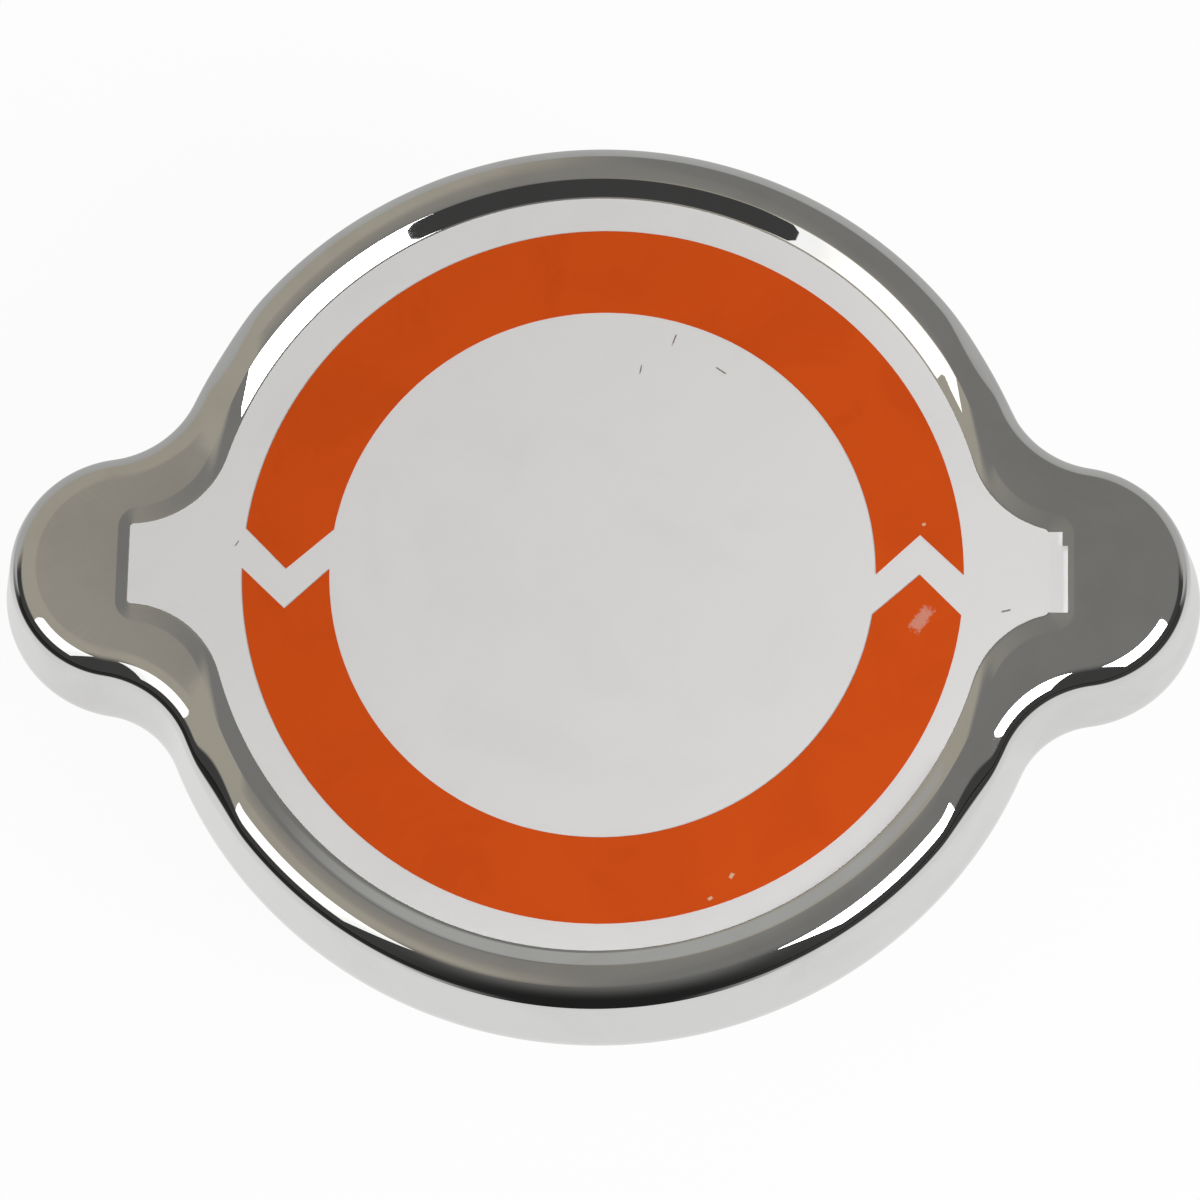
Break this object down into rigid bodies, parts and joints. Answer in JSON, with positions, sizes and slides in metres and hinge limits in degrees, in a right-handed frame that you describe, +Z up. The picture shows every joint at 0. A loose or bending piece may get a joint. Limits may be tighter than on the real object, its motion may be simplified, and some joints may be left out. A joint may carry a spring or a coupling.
{
  "type": "radiator cap",
  "caption": "Bright pressed radiator cap with finger ears, a sunk panel with orange arrows, a sprung pressure valve and a vacuum valve.",
  "frame": {"origin": "on the cap's axis, in the plane of the lower gasket's sealing face, which the loose cap stands on", "axes": "+X along the two ears, +Z up through the crown"},
  "size_m": [0.0876, 0.0668, 0.024],
  "materials": {
    "bright_shell": "polished bright sheet steel",
    "satin_coat": "satin silver-white coat",
    "orange_ink": "satin printed ink",
    "plated_steel": "zinc-plated pressed steel",
    "spring_steel": "drawn spring steel",
    "black_rubber": "moulded black rubber",
    "valve_brass": "turned brass"
  },
  "bodies": {
    "crown": {"crown_shell": "bright_shell", "panel_coat": "satin_coat", "arrow_print": "orange_ink", "centre_stud": "plated_steel", "swivel_washer": "spring_steel"},
    "bell": {"diaphragm_spring": "spring_steel", "upper_gasket": "black_rubber", "spring_seat": "plated_steel", "bell_housing": "plated_steel", "main_spring": "spring_steel"},
    "plate": {"pressure_plate": "plated_steel", "lower_gasket": "black_rubber", "vacuum_spring": "spring_steel"},
    "vacuum": {"vacuum_valve": "valve_brass", "vacuum_keeper": "plated_steel"}
  },
  "joints": [
    {"name": "valve_swivel", "type": "hinge", "parent": "crown", "child": "bell", "pos_m": [0, 0, 0.02], "axis": [0, 0, 1], "continuous": true},
    {"name": "pressure_lift", "type": "slide", "parent": "bell", "child": "plate", "axis": [0, 0, 1], "range_m": [0, 0.0035], "stiffness_N_per_m": 4000, "springref_m": -0.006, "deforming": ["main_spring"]},
    {"name": "vacuum_drop", "type": "slide", "parent": "plate", "child": "vacuum", "axis": [0, 0, -1], "range_m": [0, 0.0015], "stiffness_N_per_m": 60, "springref_m": -0.004, "deforming": ["vacuum_spring"]}
  ]
}
